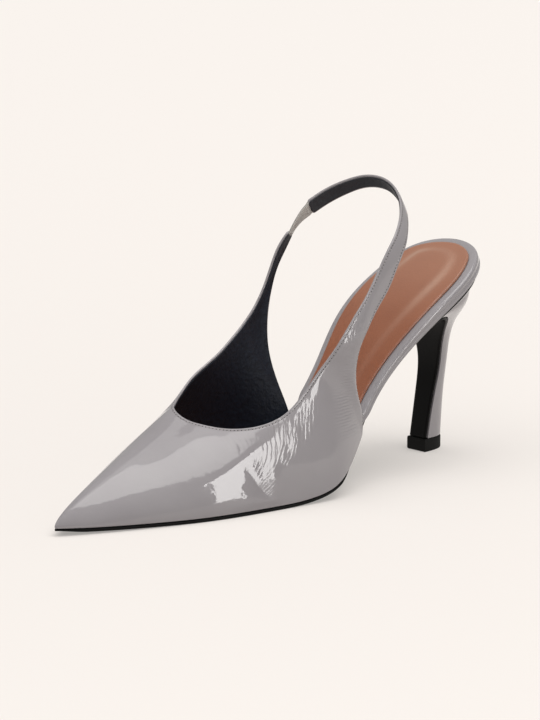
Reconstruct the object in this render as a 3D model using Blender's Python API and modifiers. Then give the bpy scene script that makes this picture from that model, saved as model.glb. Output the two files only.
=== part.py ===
"""Slingback pump with a pointed toe and a slim curved heel, left shoe, EU size 38.

The frame: +X runs to the toe, +Y to the outer (lateral) side of the foot, +Z up.
The floor is z = 0 and the origin lies under the middle of the shoe.
All sizes below are millimetres and are turned into metres when a mesh is made.
"""
import bpy
import numpy as np

# Driving sizes of the bottom
LENGTH = 246.0
TREAD = 1.5
TREAD_BACK = 148.0
TREAD_FRONT = 180.0
TOE_SPRING = 1.6
WAIST_SOLE = 1.2
GAP = 0.3

# Driving sizes of the layers above the sole
RIM = 4.0
RIM_SEAT = 5.6
RIM_ROUND = 1.3
FORE_BOARD = 2.4
BOARD_INSET = 3.2
BOARD_FRONT = 234.0
SOCK = 1.1
SOCK_INSET = 4.0
SOCK_BACK = 1.0
SOCK_FRONT = 226.0

# Driving sizes of the upper, the sling and the heel
WALL = 1.6
FEATHER_INSET = 0.4
ELASTIC = 1.1
ELASTIC_SIDE = 0.5
TOP_PIECE = 6.0
TOP_PIECE_LIP = 0.25
SOLE_FLAP = 1.5
HEEL_LEAD = 0.07
HEEL_INSET = 1.8
HEEL_TOP_BACK = 5.0
RIM_BACK = 0.5
WAIST_INSET = 2.6
CUT_MEDIAL = 93.5
CUT_LATERAL = 94.0

# The middle of the bounding box, taken off every point
MIDDLE_X = 123.4
MIDDLE_Y = 0.5

# Edge of the sole seen from above: distance from the back, lateral edge, medial edge
OUTLINE = [
    (0.0, 0.0, 0.0),
    (10.0, 21.2, -21.6),
    (28.0, 27.3, -26.0),
    (55.0, 25.2, -25.0),
    (84.0, 25.2, -16.8),
    (94.0, 29.8, -17.2),
    (106.0, 35.2, -23.4),
    (118.0, 38.2, -30.0),
    (130.0, 37.0, -34.8),
    (150.0, 33.9, -37.0),
    (180.0, 28.2, -32.8),
    (207.0, 18.7, -23.4),
    (228.0, 9.8, -13.2),
    (240.0, 3.7, -5.6),
    (246.0, -0.8, -0.8),
]

# Height of the top of the sole: distance from the back, height
SEAT = [
    (0.0, 90.0),
    (30.0, 73.9),
    (57.0, 55.8),
    (83.0, 32.2),
    (100.0, 17.8),
    (115.0, 7.3),
    (130.0, 2.6),
    (148.0, 1.5),
]

# Ribs of the vamp, from the medial cut round the toe to the lateral cut.
# side of the foot (-1 medial, 1 lateral), distance of the foot of the rib from the back,
# topline point x y z, rise at the foot of the rib x y z, run at the topline x y z
VAMP = [
    (-1, 93.5, 116.0, -28.4, 63.6, 5.0, -5.0, 12.0, -7.5, 0.0, -12.5),
    (-1, 102.5, 121.0, -27.6, 60.7, 3.6, -4.2, 13.5, -6.0, -1.2, -13.5),
    (-1, 115.0, 128.0, -26.4, 57.0, 2.0, -2.8, 15.5, -3.5, -3.5, -14.5),
    (-1, 132.0, 137.0, -24.9, 53.4, 0.6, -2.0, 15.5, -1.0, -6.0, -14.0),
    (-1, 152.0, 147.0, -22.9, 49.6, 0.2, -1.5, 14.0, 2.0, -7.5, -13.0),
    (-1, 177.0, 155.5, -19.9, 45.6, 0.2, -1.2, 11.5, 6.0, -7.0, -12.5),
    (-1, 202.0, 161.5, -17.1, 42.9, 0.4, -0.8, 9.0, 12.0, -5.5, -12.0),
    (-1, 224.0, 165.5, -14.6, 41.3, 0.5, -0.8, 8.2, 19.0, -3.0, -12.0),
    (-1, 238.0, 168.3, -11.6, 40.8, 0.7, -0.6, 7.2, 24.0, -0.5, -12.0),
    (1, 246.0, 170.0, -7.2, 39.4, 0.9, 0.0, 7.2, 26.0, 2.0, -11.5),
    (1, 238.0, 169.6, -2.6, 37.6, 0.8, 0.8, 7.4, 24.0, 4.0, -10.2),
    (1, 224.0, 167.5, 3.4, 36.2, 0.6, 1.4, 8.4, 20.0, 5.8, -9.2),
    (1, 202.0, 162.8, 10.9, 34.9, 0.4, 2.0, 10.0, 14.0, 7.6, -8.4),
    (1, 177.0, 156.3, 18.4, 34.8, 0.2, 0.8, 10.0, 8.0, 8.2, -7.6),
    (1, 152.0, 146.9, 24.2, 36.5, 0.4, -0.4, 9.5, 3.0, 7.2, -8.0),
    (1, 132.0, 137.2, 27.1, 40.8, 1.0, 0.2, 10.5, 0.6, 6.2, -9.5),
    (1, 116.0, 128.3, 28.3, 48.4, 2.0, 0.6, 12.5, -2.2, 4.6, -11.5),
    (1, 104.0, 121.5, 29.3, 55.5, 3.8, 1.6, 13.0, -5.0, 2.8, -12.5),
    (1, 94.0, 116.1, 30.3, 61.0, 5.6, 2.2, 12.0, -7.4, 1.4, -12.5),
]

# Medial wing, from its tip down to the cut: rear edge x y z, front edge x y z, swell of the middle
MEDIAL_WING = [
    (79.3, -31.0, 102.7, 84.2, -28.0, 105.2, 0.2),
    (82.9, -31.2, 96.3, 88.8, -29.4, 99.0, 0.3),
    (87.4, -31.3, 89.1, 93.0, -30.0, 90.6, 0.4),
    (91.4, -31.0, 79.0, 97.8, -30.2, 80.8, 0.6),
    (95.0, -29.6, 66.9, 103.4, -30.0, 73.3, 1.0),
    (96.5, -27.5, 53.1, 108.0, -29.5, 69.2, 1.4),
    (96.4, -23.4, 41.4, 112.0, -29.0, 66.2, 1.8),
]

# Lateral wing and sling, from the cut up and round the heel: rear edge, front edge, swell
SLING = [
    (94.0, 29.4, 31.4, 113.0, 31.2, 64.8, 1.6),
    (98.0, 30.4, 41.1, 110.2, 31.9, 68.5, 1.3),
    (100.6, 31.5, 50.8, 106.6, 32.0, 72.5, 1.0),
    (98.9, 32.1, 62.2, 101.6, 31.8, 77.8, 0.7),
    (95.0, 32.2, 69.0, 97.2, 31.3, 81.7, 0.5),
    (87.9, 31.5, 77.7, 91.6, 30.6, 87.4, 0.4),
    (79.0, 30.3, 86.2, 84.6, 29.4, 95.4, 0.3),
    (71.5, 29.0, 96.0, 77.4, 27.7, 102.9, 0.3),
    (65.0, 27.0, 103.0, 70.2, 25.2, 108.7, 0.3),
    (59.2, 22.8, 108.2, 63.2, 21.2, 114.0, 0.3),
    (53.4, 17.1, 112.9, 56.4, 15.4, 119.2, 0.3),
    (47.6, 8.0, 117.8, 50.4, 7.0, 124.2, 0.3),
    (45.4, -2.6, 122.0, 48.1, -3.0, 128.1, 0.3),
    (47.9, -13.0, 122.5, 51.0, -12.5, 128.7, 0.3),
    (53.1, -20.6, 119.5, 57.5, -20.0, 125.9, 0.3),
    (59.3, -26.0, 115.4, 63.8, -25.2, 122.2, 0.3),
    (67.6, -28.9, 110.7, 72.0, -28.1, 117.5, 0.3),
]

# Arch and breast of the heel from the side: distance from the back, height, half width of the breast
BREAST = [
    (50.0, 61.4, 23.0),
    (42.6, 64.8, 23.6),
    (35.4, 66.2, 22.6),
    (28.8, 64.0, 18.8),
    (23.8, 58.0, 12.6),
    (21.3, 49.6, 8.3),
    (21.0, 40.0, 6.7),
    (22.7, 30.0, 6.0),
    (24.8, 20.0, 5.6),
    (27.3, 6.3, 5.4),
]

# Back of the heel from the side: distance from the back, height
HEEL_BACK = [
    (5.2, 85.0),
    (7.2, 79.0),
    (9.4, 70.0),
    (11.0, 60.5),
    (11.8, 50.0),
    (12.6, 40.0),
    (13.6, 30.0),
    (14.2, 20.0),
    (14.8, 6.3),
]

GREY_PATENT = (0.28, 0.27, 0.27, 1.0)
BLACK = (0.012, 0.012, 0.014, 1.0)
TAN = (0.36, 0.17, 0.09, 1.0)
GREY_KNIT = (0.40, 0.40, 0.39, 1.0)


def spline(xs, ys, start=None, end=None):
    """Smooth cubic curve through points; the slope at an end is free unless it is given."""
    xs = np.asarray(xs, float)
    ys = np.asarray(ys, float)
    n = len(xs)
    h = np.diff(xs)
    a = np.zeros((n, n))
    b = np.zeros(n)
    for i in range(1, n - 1):
        a[i, i - 1:i + 2] = h[i - 1], 2 * (h[i - 1] + h[i]), h[i]
        b[i] = 6 * ((ys[i + 1] - ys[i]) / h[i] - (ys[i] - ys[i - 1]) / h[i - 1])
    a[0, 0] = 1
    a[-1, -1] = 1
    if start is not None:
        a[0, :2] = 2 * h[0], h[0]
        b[0] = 6 * ((ys[1] - ys[0]) / h[0] - start)
    if end is not None:
        a[-1, -2:] = h[-1], 2 * h[-1]
        b[-1] = 6 * (end - (ys[-1] - ys[-2]) / h[-1])
    m = np.linalg.solve(a, b)

    def curve(x):
        x = np.asarray(x, float)
        i = np.clip(np.searchsorted(xs, x) - 1, 0, n - 2)
        p = x - xs[i]
        q = xs[i + 1] - x
        bend = (m[i] * q**3 + m[i + 1] * p**3) / (6 * h[i])
        return bend + (ys[i] / h[i] - m[i] * h[i] / 6) * q + (ys[i + 1] / h[i] - m[i + 1] * h[i] / 6) * p
    return curve


def path(points):
    """Smooth curve through rows of numbers, run from 0 to 1 by the distance between the rows."""
    points = np.asarray(points, float)
    steps = np.linalg.norm(np.diff(points, axis=0), axis=1)
    run = np.concatenate([[0.0], np.cumsum(steps)]) / steps.sum()
    parts = [spline(run, column) for column in points.T]
    return lambda t: np.stack([part(t) for part in parts], -1)


def turn(x):
    """Angle that runs 0 at the toe tip to pi at the back of the seat."""
    return np.arccos(np.clip(2 * np.asarray(x, float) / LENGTH - 1, -1, 1))


def make_outline():
    """Closed edge of the sole by one angle: below 0 medial, 0 at the toe tip, above 0 lateral."""
    rows = [(-turn(x), medial) for x, lateral, medial in OUTLINE[:-1]]
    rows += [(0.0, OUTLINE[-1][1])]
    rows += [(turn(x), lateral) for x, lateral, medial in OUTLINE[-2::-1]]
    before = [(a - 2 * np.pi, y) for a, y in rows[-4:-1]]
    after = [(a + 2 * np.pi, y) for a, y in rows[1:4]]
    rows = np.array(before + rows + after)
    side = spline(rows[:, 0], rows[:, 1])
    return lambda a: np.stack([LENGTH / 2 * (1 + np.cos(a)), side(a)], -1)


edge = make_outline()


def inset_edge(a, inset):
    """The edge of the sole moved inwards in plan."""
    along = edge(a + 1e-4) - edge(a - 1e-4)
    along /= np.linalg.norm(along, axis=-1, keepdims=True)
    inward = np.stack([-along[..., 1], along[..., 0]], -1)
    return edge(a) + np.asarray(inset, float)[..., None] * inward


seat_curve = spline([row[0] for row in SEAT], [row[1] for row in SEAT], None, 0.0)


def seat(x):
    """Height of the top of the sole along the shoe."""
    x = np.asarray(x, float)
    back = seat_curve(np.minimum(x, TREAD_BACK))
    front = TREAD + TOE_SPRING * (np.maximum(x - TREAD_FRONT, 0) / (LENGTH - TREAD_FRONT))**2
    return np.where(x < TREAD_BACK, back, front)


def lift(plan, height):
    """Points of a plan curve put on the top of the sole and raised square to it."""
    x = plan[..., 0]
    slope = (seat(x + 0.01) - seat(x - 0.01)) / 0.02
    size = np.sqrt(1 + slope**2)
    return np.stack([x - height * slope / size, plan[..., 1], seat(x) + height / size], -1)


def blend(x, low, high):
    """Smooth step from 0 at low to 1 at high."""
    t = np.clip((np.asarray(x, float) - low) / (high - low), 0, 1)
    return t * t * (3 - 2 * t)


def material(name, colour, roughness, coat=0.0):
    """Plain Principled material."""
    made = bpy.data.materials.new(name)
    made.use_nodes = True
    shader = made.node_tree.nodes["Principled BSDF"]
    shader.inputs["Base Color"].default_value = colour
    shader.inputs["Roughness"].default_value = roughness
    shader.inputs["Coat Weight"].default_value = coat
    made.diffuse_color = colour
    return made


def solid(name, points, faces, skin, smooth=True):
    """One named object from points in millimetres, moved to the middle of the shoe."""
    points = (np.asarray(points, float) - (MIDDLE_X, MIDDLE_Y, 0.0)) / 1000
    mesh = bpy.data.meshes.new(name)
    mesh.from_pydata(points.tolist(), [], faces)
    mesh.update()
    mesh.polygons.foreach_set("use_smooth", [smooth] * len(mesh.polygons))
    mesh.materials.append(skin)
    made = bpy.data.objects.new(name, mesh)
    shoe.objects.link(made)
    return made


def grid_faces(rows, columns, wrap):
    """Quads between neighbouring rows of points; wrap joins the last column to the first."""
    faces = []
    for i in range(rows - 1):
        for j in range(columns if wrap else columns - 1):
            k = (j + 1) % columns
            low = i * columns
            high = low + columns
            faces.append((low + j, low + k, high + k, high + j))
    return faces


def cap_faces(columns, start, flip):
    """Quads across a closed loop whose points mirror each other from first to last."""
    faces = []
    for j in range(columns // 2 - 1):
        ring = (start + j, start + j + 1, start + columns - 2 - j, start + columns - 1 - j)
        faces.append(ring[::-1] if flip else ring)
    return faces


def stack(name, loops, skin):
    """Closed body from loops of points, lowest first, capped below and above."""
    columns = len(loops[0])
    faces = grid_faces(len(loops), columns, True)
    faces += cap_faces(columns, 0, True)
    faces += cap_faces(columns, columns * (len(loops) - 1), False)
    return solid(name, np.concatenate(loops), faces, skin)


def sharpen(made, degrees):
    """Crisp shading over edges that turn more than the angle."""
    made.data.set_sharp_from_angle(angle=np.radians(degrees))


def board_height(x):
    """Thickness of the insole: the shown rim at the back, a thin board under the vamp."""
    return RIM_SEAT + (RIM - RIM_SEAT) * blend(x, 30.0, 75.0) + (FORE_BOARD - RIM) * blend(x, 92.0, 126.0)


def build_insole(skin):
    """Wrapped board with a rounded rim shown at the heel and waist, hidden under the vamp."""
    half = np.linspace(np.pi - 0.03, turn(BOARD_FRONT), 48)
    a = np.concatenate([-half, half[::-1]])
    x = edge(a)[:, 0]
    start = np.where(a < 0, CUT_MEDIAL, CUT_LATERAL) - 10.0
    inset = BOARD_INSET * blend(x, start, start + 8.0)
    loops = []
    for out, up in ((1.0, 0.0), (0.3, 0.12), (0.0, 0.36), (0.0, 0.62), (0.35, 0.87), (1.0, 1.0)):
        loops.append(lift(inset_edge(a, inset + RIM_ROUND * out), GAP + board_height(x) * up))
    return stack("insole", loops, skin)


def build_sock(skin):
    """Thin leather sock on the insole, set in from the rim and cut straight under the vamp."""
    half = np.linspace(np.pi - 0.03, turn(SOCK_FRONT), 44)
    a = np.concatenate([-half, half[::-1]])
    loops = []
    for out, up in ((0.0, 0.0), (0.0, 0.6), (0.5, 1.0)):
        height = 2 * GAP + board_height(edge(a)[:, 0]) + SOCK * up
        inset = SOCK_INSET + SOCK_BACK * (1 - blend(edge(a)[:, 0], 0.0, 8.0)) + out
        loops.append(lift(inset_edge(a, inset), height))
    made = stack("sock_lining", loops, skin)
    sharpen(made, 35)
    return made


def breast_path():
    """Side view of the top of the sole over the arch and down the breast: length, point, slope, width."""
    rows = np.array(BREAST)
    rows[0, 1] = seat(rows[0, 0])
    steps = np.linalg.norm(np.diff(rows[:, :2], axis=0), axis=1)
    run = np.concatenate([[0.0], np.cumsum(steps)])
    slope = (seat(rows[0, 0] + 0.01) - seat(rows[0, 0] - 0.01)) / 0.02
    size = np.sqrt(1 + slope**2)
    fx = spline(run, rows[:, 0], -1 / size)
    fz = spline(run, rows[:, 1], -slope / size)

    def point(s):
        return np.stack([fx(s), fz(s)], -1)

    def square(s):
        """Unit direction towards the heel."""
        d = point(s + 0.01) - point(s - 0.01)
        d /= np.linalg.norm(d, axis=-1, keepdims=True)
        return np.stack([d[..., 1], -d[..., 0]], -1)
    return run[-1], point, square, spline(run, rows[:, 2])


def build_outsole(skin):
    """Sole with toe spring, thin waist, arch and a flap down the breast of the heel."""
    a = np.linspace(0.0, turn(BREAST[0][0]), 46)[1:]
    x = edge(a)[:, 0]
    thick = WAIST_SOLE + (TREAD - WAIST_SOLE) * blend(x, 108.0, 140.0)
    inset = WAIST_INSET * (1 - blend(x, 96.0, 122.0))
    lateral = inset_edge(a, inset)
    medial = inset_edge(-a, inset)
    top = [lift(lateral, 0.0), lift(medial, 0.0)]
    low = [lift(lateral, -thick), lift(medial, -thick)]
    total, point, square, width = breast_path()
    s = np.linspace(0.0, total, 25)[1:]
    fade = 1 - blend(s, 0.0, 12.0)
    over = point(s)
    under = over - WAIST_SOLE * square(s)
    for side, first in enumerate((lateral[-1, 1], medial[-1, 1])):
        sign = 1 - 2 * side
        y = sign * width(s) + (first - sign * width(0.0)) * fade
        top[side] = np.concatenate([top[side], np.stack([over[:, 0], y, over[:, 1]], -1)])
        low[side] = np.concatenate([low[side], np.stack([under[:, 0], y, under[:, 1]], -1)])
    n = len(top[0])
    rows = np.stack([top[0], top[1], low[1], low[0]], 1).reshape(-1, 3)
    tip = edge(np.zeros(1))
    points = np.concatenate([rows, lift(tip, 0.0), lift(tip, -TREAD)])
    t = 4 * n
    faces = [face[::-1] for face in grid_faces(n, 4, True)]
    faces += [(0, 1, t), (1, 2, t + 1, t), (2, 3, t + 1), (3, 0, t, t + 1)]
    faces.append((t - 1, t - 2, t - 3, t - 4))
    made = solid("outsole", points, faces, skin)
    sharpen(made, 30)
    return made


def build_heel(skin):
    """Heel lofted from the top piece up to the seat: flat breast, rounded back."""
    total, point, square, width = breast_path()
    t = np.linspace(1.0, 0.0, 18)
    s = total * (HEEL_LEAD + (1 - HEEL_LEAD) * t)
    front = point(s) + GAP * square(s)
    front[0, 1] = TOP_PIECE + GAP
    back = path(HEEL_BACK)(t)
    back[0, 1] = TOP_PIECE + GAP
    angle = np.radians(np.linspace(5.0, 90.0, 13))
    along = np.cos(angle)**0.85
    round_w = np.sin(angle)**0.85
    top_x = front[-1, 0] + (HEEL_TOP_BACK - front[-1, 0]) * along
    a = turn(front[-1, 0] + (RIM_BACK - front[-1, 0]) * along)
    under_lateral = edge(a)[:, 1] - HEEL_INSET
    under_medial = -edge(-a)[:, 1] - HEEL_INSET
    loops = []
    for i in range(len(t) + 1):
        if i < len(t):
            x = front[i, 0] + (back[i, 0] - front[i, 0]) * along
            z = front[i, 1] + (back[i, 1] - front[i, 1]) * along
            bow = seat(top_x) - seat(top_x[-1]) - (seat(top_x[0]) - seat(top_x[-1])) * along / along[0]
            z = z + bow * (1 - t[i])**3
            w = width(s[i])
            share = blend(w, 12.0, 24.0)
        else:
            x = top_x
            z = seat(x) - GAP
        lateral = under_lateral
        medial = under_medial
        if i < len(t):
            lateral = w * (round_w + (lateral / lateral[-1] - round_w) * share)
            medial = w * (round_w + (medial / medial[-1] - round_w) * share)
        loops.append(np.concatenate([np.stack([x, -medial, z], -1), np.stack([x, lateral, z], -1)[::-1]]))
    made = stack("heel", loops, skin)
    sharpen(made, 40)
    return made


def build_top_piece(skin):
    """Small flat lift under the heel, a little wider than the heel's foot."""
    angle = np.radians(np.linspace(5.0, 90.0, 13))
    front = BREAST[-1][0]
    depth = front - HEEL_BACK[-1][0]
    half = BREAST[-1][2]
    loops = []
    for lip, z in ((-0.35, 0.0), (TOP_PIECE_LIP, 0.6), (TOP_PIECE_LIP, TOP_PIECE - 0.5), (0.0, TOP_PIECE)):
        x = front + SOLE_FLAP + lip - (depth + SOLE_FLAP + 2 * lip) * np.cos(angle)**0.85
        y = (half + lip) * np.sin(angle)**0.85
        level = np.full_like(x, z)
        loops.append(np.concatenate([np.stack([x, -y, level], -1), np.stack([x, y, level], -1)[::-1]]))
    made = stack("top_piece", loops, skin)
    sharpen(made, 35)
    return made


def wing_rib(row, along):
    """Control points of a rib across a wing or the sling, swollen outwards in the middle."""
    rear = np.array(row[0:3])
    front = np.array(row[3:6])
    out = np.cross(along, front - rear)
    out /= np.linalg.norm(out)
    third = (front - rear) / 3
    bulge = out * row[6] / 0.75
    return rear, third + bulge, bulge - third, front


def upper_ribs():
    """Foot, rise, run and topline of every rib, from the medial tip to the end of the sling."""
    medial = np.array(MEDIAL_WING)
    sling = np.array(SLING)
    ribs = []
    for i, row in enumerate(medial):
        along = np.gradient(0.5 * (medial[:, 0:3] + medial[:, 3:6]), axis=0)[i]
        ribs.append(wing_rib(row, along))
    angles = []
    for row in VAMP:
        angle = row[0] * turn(row[1])
        angles.append(angle)
        foot = feather(np.array([angle]))[0]
        ribs.append((foot, np.array(row[5:8]), np.array(row[8:11]), np.array(row[2:5])))
    for i, row in enumerate(sling):
        along = np.gradient(0.5 * (sling[:, 0:3] + sling[:, 3:6]), axis=0)[i]
        ribs.append(wing_rib(row, along))
    return [np.array(part) for part in zip(*ribs)], np.array(angles)


def feather(a):
    """Edge where the upper meets the sole."""
    return lift(inset_edge(a, np.full_like(a, FEATHER_INSET)), GAP)


def upper_surface(step, across):
    """Outer face of the upper as rows of points along cubic ribs from the foot to the topline."""
    (foot, rise, run, top), angles = upper_ribs()
    controls = np.stack([foot, foot + rise, top + run, top], 1)
    gaps = np.linalg.norm(np.diff(controls, axis=0), axis=2).mean(axis=1)
    u = np.concatenate([[0.0], np.cumsum(gaps)])
    first = len(MEDIAL_WING)
    last = first + len(VAMP) - 1
    knots = []
    for i, gap in enumerate(gaps):
        count = max(2, int(np.ceil(gap / step)))
        knots.append(u[i] + (u[i + 1] - u[i]) * np.arange(count) / count)
    t = np.concatenate(knots + [u[-1:]])

    def through(values, lo, hi, at):
        return np.stack([spline(u[lo:hi + 1], column)(at) for column in values[lo:hi + 1].T], -1)
    lower, upper, tops = [through(controls[:, i], 0, len(u) - 1, t) for i in (1, 2, 3)]
    inner = t < u[first]
    outer = t > u[last]
    bottom = ~(inner | outer)
    feet = np.empty_like(tops)
    feet[inner] = through(foot, 0, first, t[inner])
    feet[outer] = through(foot, last, len(u) - 1, t[outer])
    feet[bottom] = feather(spline(u[first:last + 1], angles)(t[bottom]))
    v = (np.linspace(0.0, 1.0, across)**1.5)[None, :, None]
    low_half = (1 - v)**3 * feet[:, None] + 3 * v * (1 - v)**2 * lower[:, None]
    return low_half + 3 * v**2 * (1 - v) * upper[:, None] + v**3 * tops[:, None]


def thicken(made, wall):
    """Give a sheet its wall, inwards."""
    shell = made.modifiers.new("wall", "SOLIDIFY")
    shell.thickness = wall / 1000
    shell.offset = -1.0
    shell.use_even_offset = True
    shell.use_rim = True
    return made


def build_upper(skin):
    """Vamp, both wings and the sling strap, cut in one and open below."""
    surface = upper_surface(6.5, 10)
    rows, columns = surface.shape[:2]
    faces = [(f[0], f[3], f[2], f[1]) for f in grid_faces(rows, columns, False)]
    return thicken(solid("upper", surface.reshape(-1, 3), faces, skin), WALL)


def build_elastic(skin):
    """Knitted elastic between the end of the sling and the tip of the medial wing."""
    start = np.array(SLING[-1][:6]).reshape(2, 3)
    before = np.array(SLING[-2][:6]).reshape(2, 3)
    end = np.array(MEDIAL_WING[0][:6]).reshape(2, 3)
    after = np.array(MEDIAL_WING[1][:6]).reshape(2, 3)
    side_a = (start[1] - start[0]) / np.linalg.norm(start[1] - start[0])
    side_b = (end[1] - end[0]) / np.linalg.norm(end[1] - end[0])
    lead_a = (start - before).mean(axis=0)
    lead_a /= np.linalg.norm(lead_a)
    lead_b = (after - end).mean(axis=0)
    lead_b /= np.linalg.norm(lead_b)
    start = start + GAP * lead_a + np.outer((1, -1), ELASTIC_SIDE * side_a)
    end = end - GAP * lead_b + np.outer((1, -1), 0.4 * ELASTIC_SIDE * side_b)
    reach = 0.36 * np.linalg.norm(end.mean(axis=0) - start.mean(axis=0))
    t = np.linspace(0.0, 1.0, 9)[:, None, None]
    c1 = start + reach * lead_a
    c2 = end - reach * lead_b
    rows = (1 - t)**3 * start + 3 * t * (1 - t)**2 * c1 + 3 * t**2 * (1 - t) * c2 + t**3 * end
    v = np.linspace(0.0, 1.0, 4)[None, :, None]
    grid = rows[:, :1] * (1 - v) + rows[:, 1:] * v
    along = np.gradient(rows.mean(axis=1), axis=0)
    inward = np.cross(rows[:, 1] - rows[:, 0], along)
    inward /= np.linalg.norm(inward, axis=1, keepdims=True)
    grid = grid + 0.5 * (WALL - ELASTIC) * inward[:, None]
    faces = [(f[0], f[3], f[2], f[1]) for f in grid_faces(len(grid), 4, False)]
    return thicken(solid("elastic", grid.reshape(-1, 3), faces, skin), ELASTIC)


for old in list(bpy.data.objects):
    bpy.data.objects.remove(old, do_unlink=True)
shoe = bpy.data.collections.new("slingback_pump")
bpy.context.scene.collection.children.link(shoe)

patent = material("grey patent leather", GREY_PATENT, 0.3, 1.0)
patent_rim = material("grey patent rim", GREY_PATENT, 0.3, 1.0)
patent_heel = material("grey patent heel cover", GREY_PATENT, 0.3, 1.0)
black_sole = material("black sole", BLACK, 0.5)
black_rubber = material("black top piece", BLACK, 0.6)
tan_leather = material("tan sock leather", TAN, 0.5)
grey_knit = material("grey elastic", GREY_KNIT, 0.9)

build_outsole(black_sole)
build_insole(patent_rim)
build_sock(tan_leather)
build_upper(patent)
build_elastic(grey_knit)
build_heel(patent_heel)
build_top_piece(black_rubber)
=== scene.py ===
"""Looks of the slingback pump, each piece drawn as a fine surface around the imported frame.

Sizes are millimetres in the shoe's own frame: x from the back of the seat to the toe, y to the
outer side of the foot, z up from the floor. A mesh is moved to the frame's origin and turned
into metres when it is made.
"""

import bmesh
import bpy
import numpy as np
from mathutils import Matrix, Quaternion, Vector


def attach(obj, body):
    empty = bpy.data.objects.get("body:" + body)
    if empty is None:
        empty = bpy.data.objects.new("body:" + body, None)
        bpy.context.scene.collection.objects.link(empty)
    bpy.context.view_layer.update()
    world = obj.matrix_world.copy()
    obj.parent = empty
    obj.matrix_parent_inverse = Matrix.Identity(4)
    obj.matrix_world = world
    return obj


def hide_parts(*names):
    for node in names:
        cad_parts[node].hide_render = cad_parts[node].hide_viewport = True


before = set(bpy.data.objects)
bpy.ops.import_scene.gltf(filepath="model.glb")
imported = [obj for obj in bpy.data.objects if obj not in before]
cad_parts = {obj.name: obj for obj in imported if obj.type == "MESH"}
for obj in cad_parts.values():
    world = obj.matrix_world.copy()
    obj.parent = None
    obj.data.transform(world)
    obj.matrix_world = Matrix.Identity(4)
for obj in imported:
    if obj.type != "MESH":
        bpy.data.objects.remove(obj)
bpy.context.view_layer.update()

# Sizes of the shoe, as in its solids
MIDDLE = np.array([123.4, 0.5, 0.0])
LENGTH = 246.0
TREAD = 1.5
TREAD_BACK = 148.0
TREAD_FRONT = 180.0
TOE_SPRING = 1.6
WAIST_SOLE = 1.2
GAP = 0.3
RIM = 4.0
RIM_SEAT = 5.6
FORE_BOARD = 2.4
BOARD_INSET = 3.2
BOARD_FRONT = 234.0
SOCK = 1.1
SOCK_INSET = 4.0
SOCK_FRONT = 226.0
FEATHER_INSET = 0.4
TOP_PIECE = 6.0
SOLE_FLAP = 1.5
HEEL_LEAD = 0.07
HEEL_INSET = 1.8
HEEL_TOP_BACK = 5.0
RIM_BACK = 0.5
WAIST_INSET = 2.6
CUT_MEDIAL = 93.5
CUT_LATERAL = 94.0

# Stretches over which a size changes, by distance from the back: from, to
RIM_TAPER = (30.0, 75.0)
BOARD_TAPER = (92.0, 126.0)
WAIST_TAPER = (96.0, 122.0)
SOLE_TAPER = (108.0, 140.0)
TOE_TAPER = (234.0, 246.0)
SOCK_BACK_TAPER = (0.0, 8.0)
SOCK_OVER_TAPER = (2.0, 20.0)
PAD_TAPER = (62.0, 100.0)
PAINTED_HAZE_TAPER = (10.0, 75.0)

# Small forms that the solids leave plain
SOLE_INSET = 0.45
TOE_THIN = 0.5
TOE_PINCH = 4.0
FLAP_INSET = 0.5
FLAP_DRAWN = 20.0
FLAP_JOIN = 12.0
DRAW_LEAD = 10.0
DRAW_IN = 9.0
SOCK_BACK = 0.4
SOCK_SET_OVER = 1.5
PAD = 0.6
PAD_INSET = 9.0
PAD_EDGE = (PAD_INSET - 2.5, PAD_INSET + 2.0)
HEEL_FLUSH = 1.8
HEEL_FLUSH_FROM = 0.94

# Section of the heel: how round its back is, half widths between which it opens to the rim's outline
HEEL_ROUND = 0.85
HEEL_FLARE = (12.0, 24.0)

# Painted light on the sock: a pale painted highlight line over the edge of the pad and a painted sheen haze
# at the seat
PAINTED_LINE = 0.08
PAINTED_LINE_WIDE = 2.2
PAINTED_LINE_SIDE = (3.0, 12.0)
PAINTED_HAZE = 0.24

# Crescents where the painted highlight line is stronger: side of the foot, middle, half length, strength
HIGHLIGHT_CRESCENTS = [
    (1, 34.0, 17.0, 0.3),
    (-1, 17.0, 13.0, 0.34),
]

# Leather, lining and thread
PATENT = 1.0
LINING = 0.5
LINING_DEPTH = 1.06
LINING_INSET = 0.75
STRAP_CORNER = 1.3
STITCH_IN = 1.3
STITCH_START = 4.5
STITCH_PITCH = 1.55
STITCH_LONG = 0.95
STITCH_THICK = 0.34
STITCH_SINK = 0.14
STITCH_PROUD = 0.1
STITCH_DIP = 0.16
STITCH_AHEAD = 0.2
GROOVE = 0.3
HOLE = 0.25
HOLE_DEEP = 0.1
HOLE_RISE = 0.04

# Creases fade out towards an edge, bow along their line and end a few half widths off
CREASE_CLEAR = (0.5, 3.5)
CREASE_NEAR = 3.0
CREASE_BOW = 0.02

# Half length over which the stitch groove fades at a cut, heights between which a paler sheen is painted
# onto the lining
CUT_FADE = 2.0
PAINTED_SHEEN_HEIGHTS = (88.0, 108.0)

# Elastic: how far it is tucked in, its edges, its half thickness, its ribs and its place under the leather
ELASTIC_TUCK = 2.0
ELASTIC_TUCK_TIP = 1.0
ELASTIC_IN = 0.75
ELASTIC_REACH = 0.36
ELASTIC_HALF = 0.42
ELASTIC_RIBS = 7
ELASTIC_RIB = 0.13
ELASTIC_THREAD = 0.03
ELASTIC_THREAD_ROWS = 3.0
ELASTIC_SIDES = 0.7
ELASTIC_FLAT = 0.35
ELASTIC_UNDER = 0.85
ELASTIC_UNDER_START = 0.55
ELASTIC_UNDER_TIP = 0.1
ELASTIC_START_ROWS = (8.0, 20.0)
ELASTIC_TIP_ROWS = (74.0, 86.0)

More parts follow.
